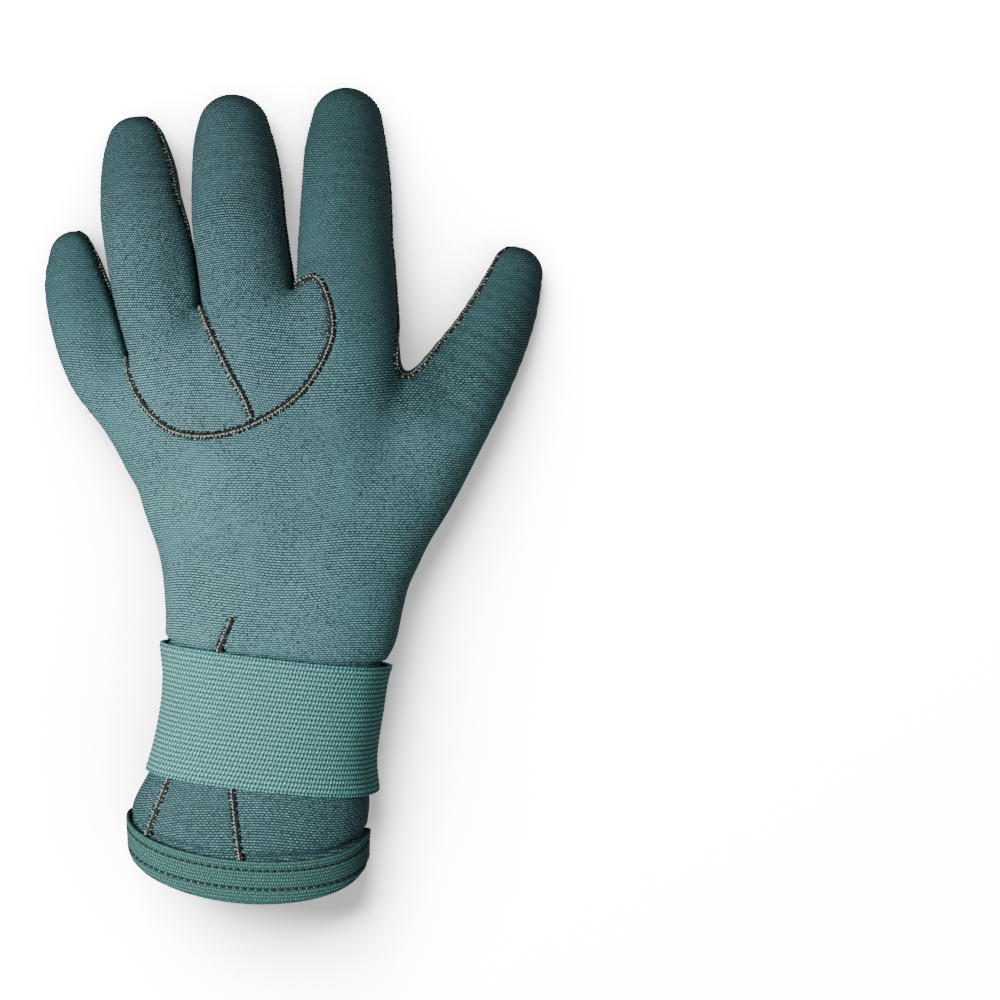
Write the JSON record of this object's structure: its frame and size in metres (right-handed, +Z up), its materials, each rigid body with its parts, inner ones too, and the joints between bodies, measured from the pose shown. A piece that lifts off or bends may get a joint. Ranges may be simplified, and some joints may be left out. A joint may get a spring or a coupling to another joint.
{
  "type": "neoprene water-sports glove",
  "caption": "Five-finger neoprene glove for a left hand, lying palm down, with inset knuckle panels, gripping palm, ribbed wrist strap and bound cuff.",
  "frame": {"origin": "centre of the footprint's bounding box, on the surface that the glove lies on", "axes": "+Z up, out of the back of the hand; +Y from the cuff to the fingertips; +X toward the thumb's side"},
  "size_m": [0.1602, 0.2564, 0.0445],
  "materials": {
    "neoprene_knit": "fine knit over foam, matt",
    "inset_knit": "fine knit over foam, matt",
    "printed_palm": "knit with a raised glossy grip print",
    "hem_knit": "folded knit tape, matt",
    "elastic": "ribbed woven elastic",
    "hook_and_loop": "hook-and-loop tape"
  },
  "bodies": {
    "root": {"back_panel": "neoprene_knit", "ring_back_panel": "inset_knit", "middle_back_panel": "inset_knit", "palm_panel": "printed_palm", "cuff_gusset": "neoprene_knit", "hem_band": "hem_knit", "wrist_strap": "elastic", "hook_patch": "hook_and_loop"}
  },
  "joints": []
}
